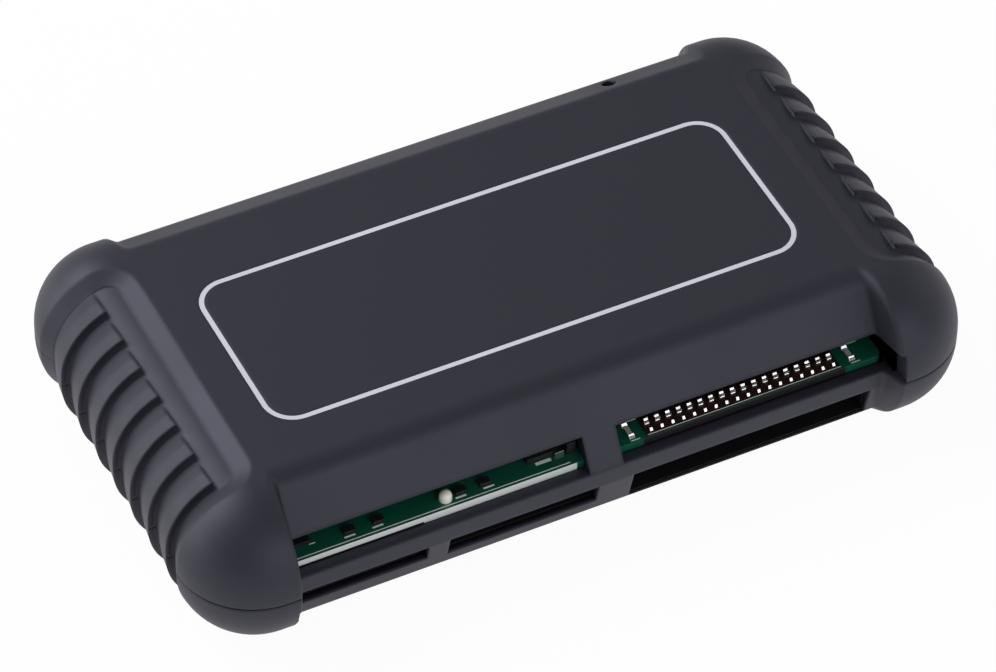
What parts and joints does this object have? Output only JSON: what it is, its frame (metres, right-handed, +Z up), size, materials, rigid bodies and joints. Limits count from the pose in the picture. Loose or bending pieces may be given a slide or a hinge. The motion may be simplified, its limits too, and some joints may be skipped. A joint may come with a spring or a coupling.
{
  "type": "usb memory card reader",
  "caption": "Flat desktop memory card reader with rubbery end bumpers, ribbed grips, card slots along a sloping front and a small USB inlet at the back.",
  "frame": {"origin": "middle of the underside", "axes": "+X along the reader, to the right seen from the slots; +Y from the slots to the back; +Z up"},
  "size_m": [0.121, 0.07, 0.025],
  "materials": {
    "cover_grey": "soft-touch dark blue-grey, faint leather grain",
    "stripe_pale": "pale screen print",
    "board_green": "green solder mask over glass laminate",
    "black_plastic": "black moulded plastic",
    "steel_bright": "bright tinned sheet",
    "contact_gold": "gold-plated contact",
    "strip_brown": "dark brown carrier",
    "lamp_cream": "milky lens",
    "clear_rod": "clear plastic rod",
    "can_silver": "bare can"
  },
  "bodies": {
    "root": {"top_cover": "cover_grey", "bottom_cover": "cover_grey", "outline_stripe": "stripe_pale", "case_screws": "steel_bright", "main_circuit_board": "board_green", "lead_strip": "strip_brown", "socket_leads": "steel_bright", "cf_header": "black_plastic", "cf_pins": "contact_gold", "stick_socket_body": "black_plastic", "stick_socket_shell": "steel_bright", "stick_socket_contacts": "contact_gold", "sd_socket_body": "black_plastic", "sd_socket_shell": "steel_bright", "sd_socket_contacts": "contact_gold", "sm_socket_body": "black_plastic", "sm_socket_shell": "steel_bright", "sm_socket_contacts": "contact_gold", "micro_socket_body": "black_plastic", "micro_socket_shell": "steel_bright", "usb_shell": "steel_bright", "usb_tongue": "black_plastic", "usb_contacts": "contact_gold", "controller_chip": "black_plastic", "controller_leads": "steel_bright", "crystal_can": "steel_bright", "regulator": "black_plastic", "tank_capacitor": "can_silver", "chip_parts": "black_plastic", "front_lamp": "lamp_cream", "indicator_lamp": "lamp_cream", "light_pipe": "clear_rod"}
  },
  "joints": []
}
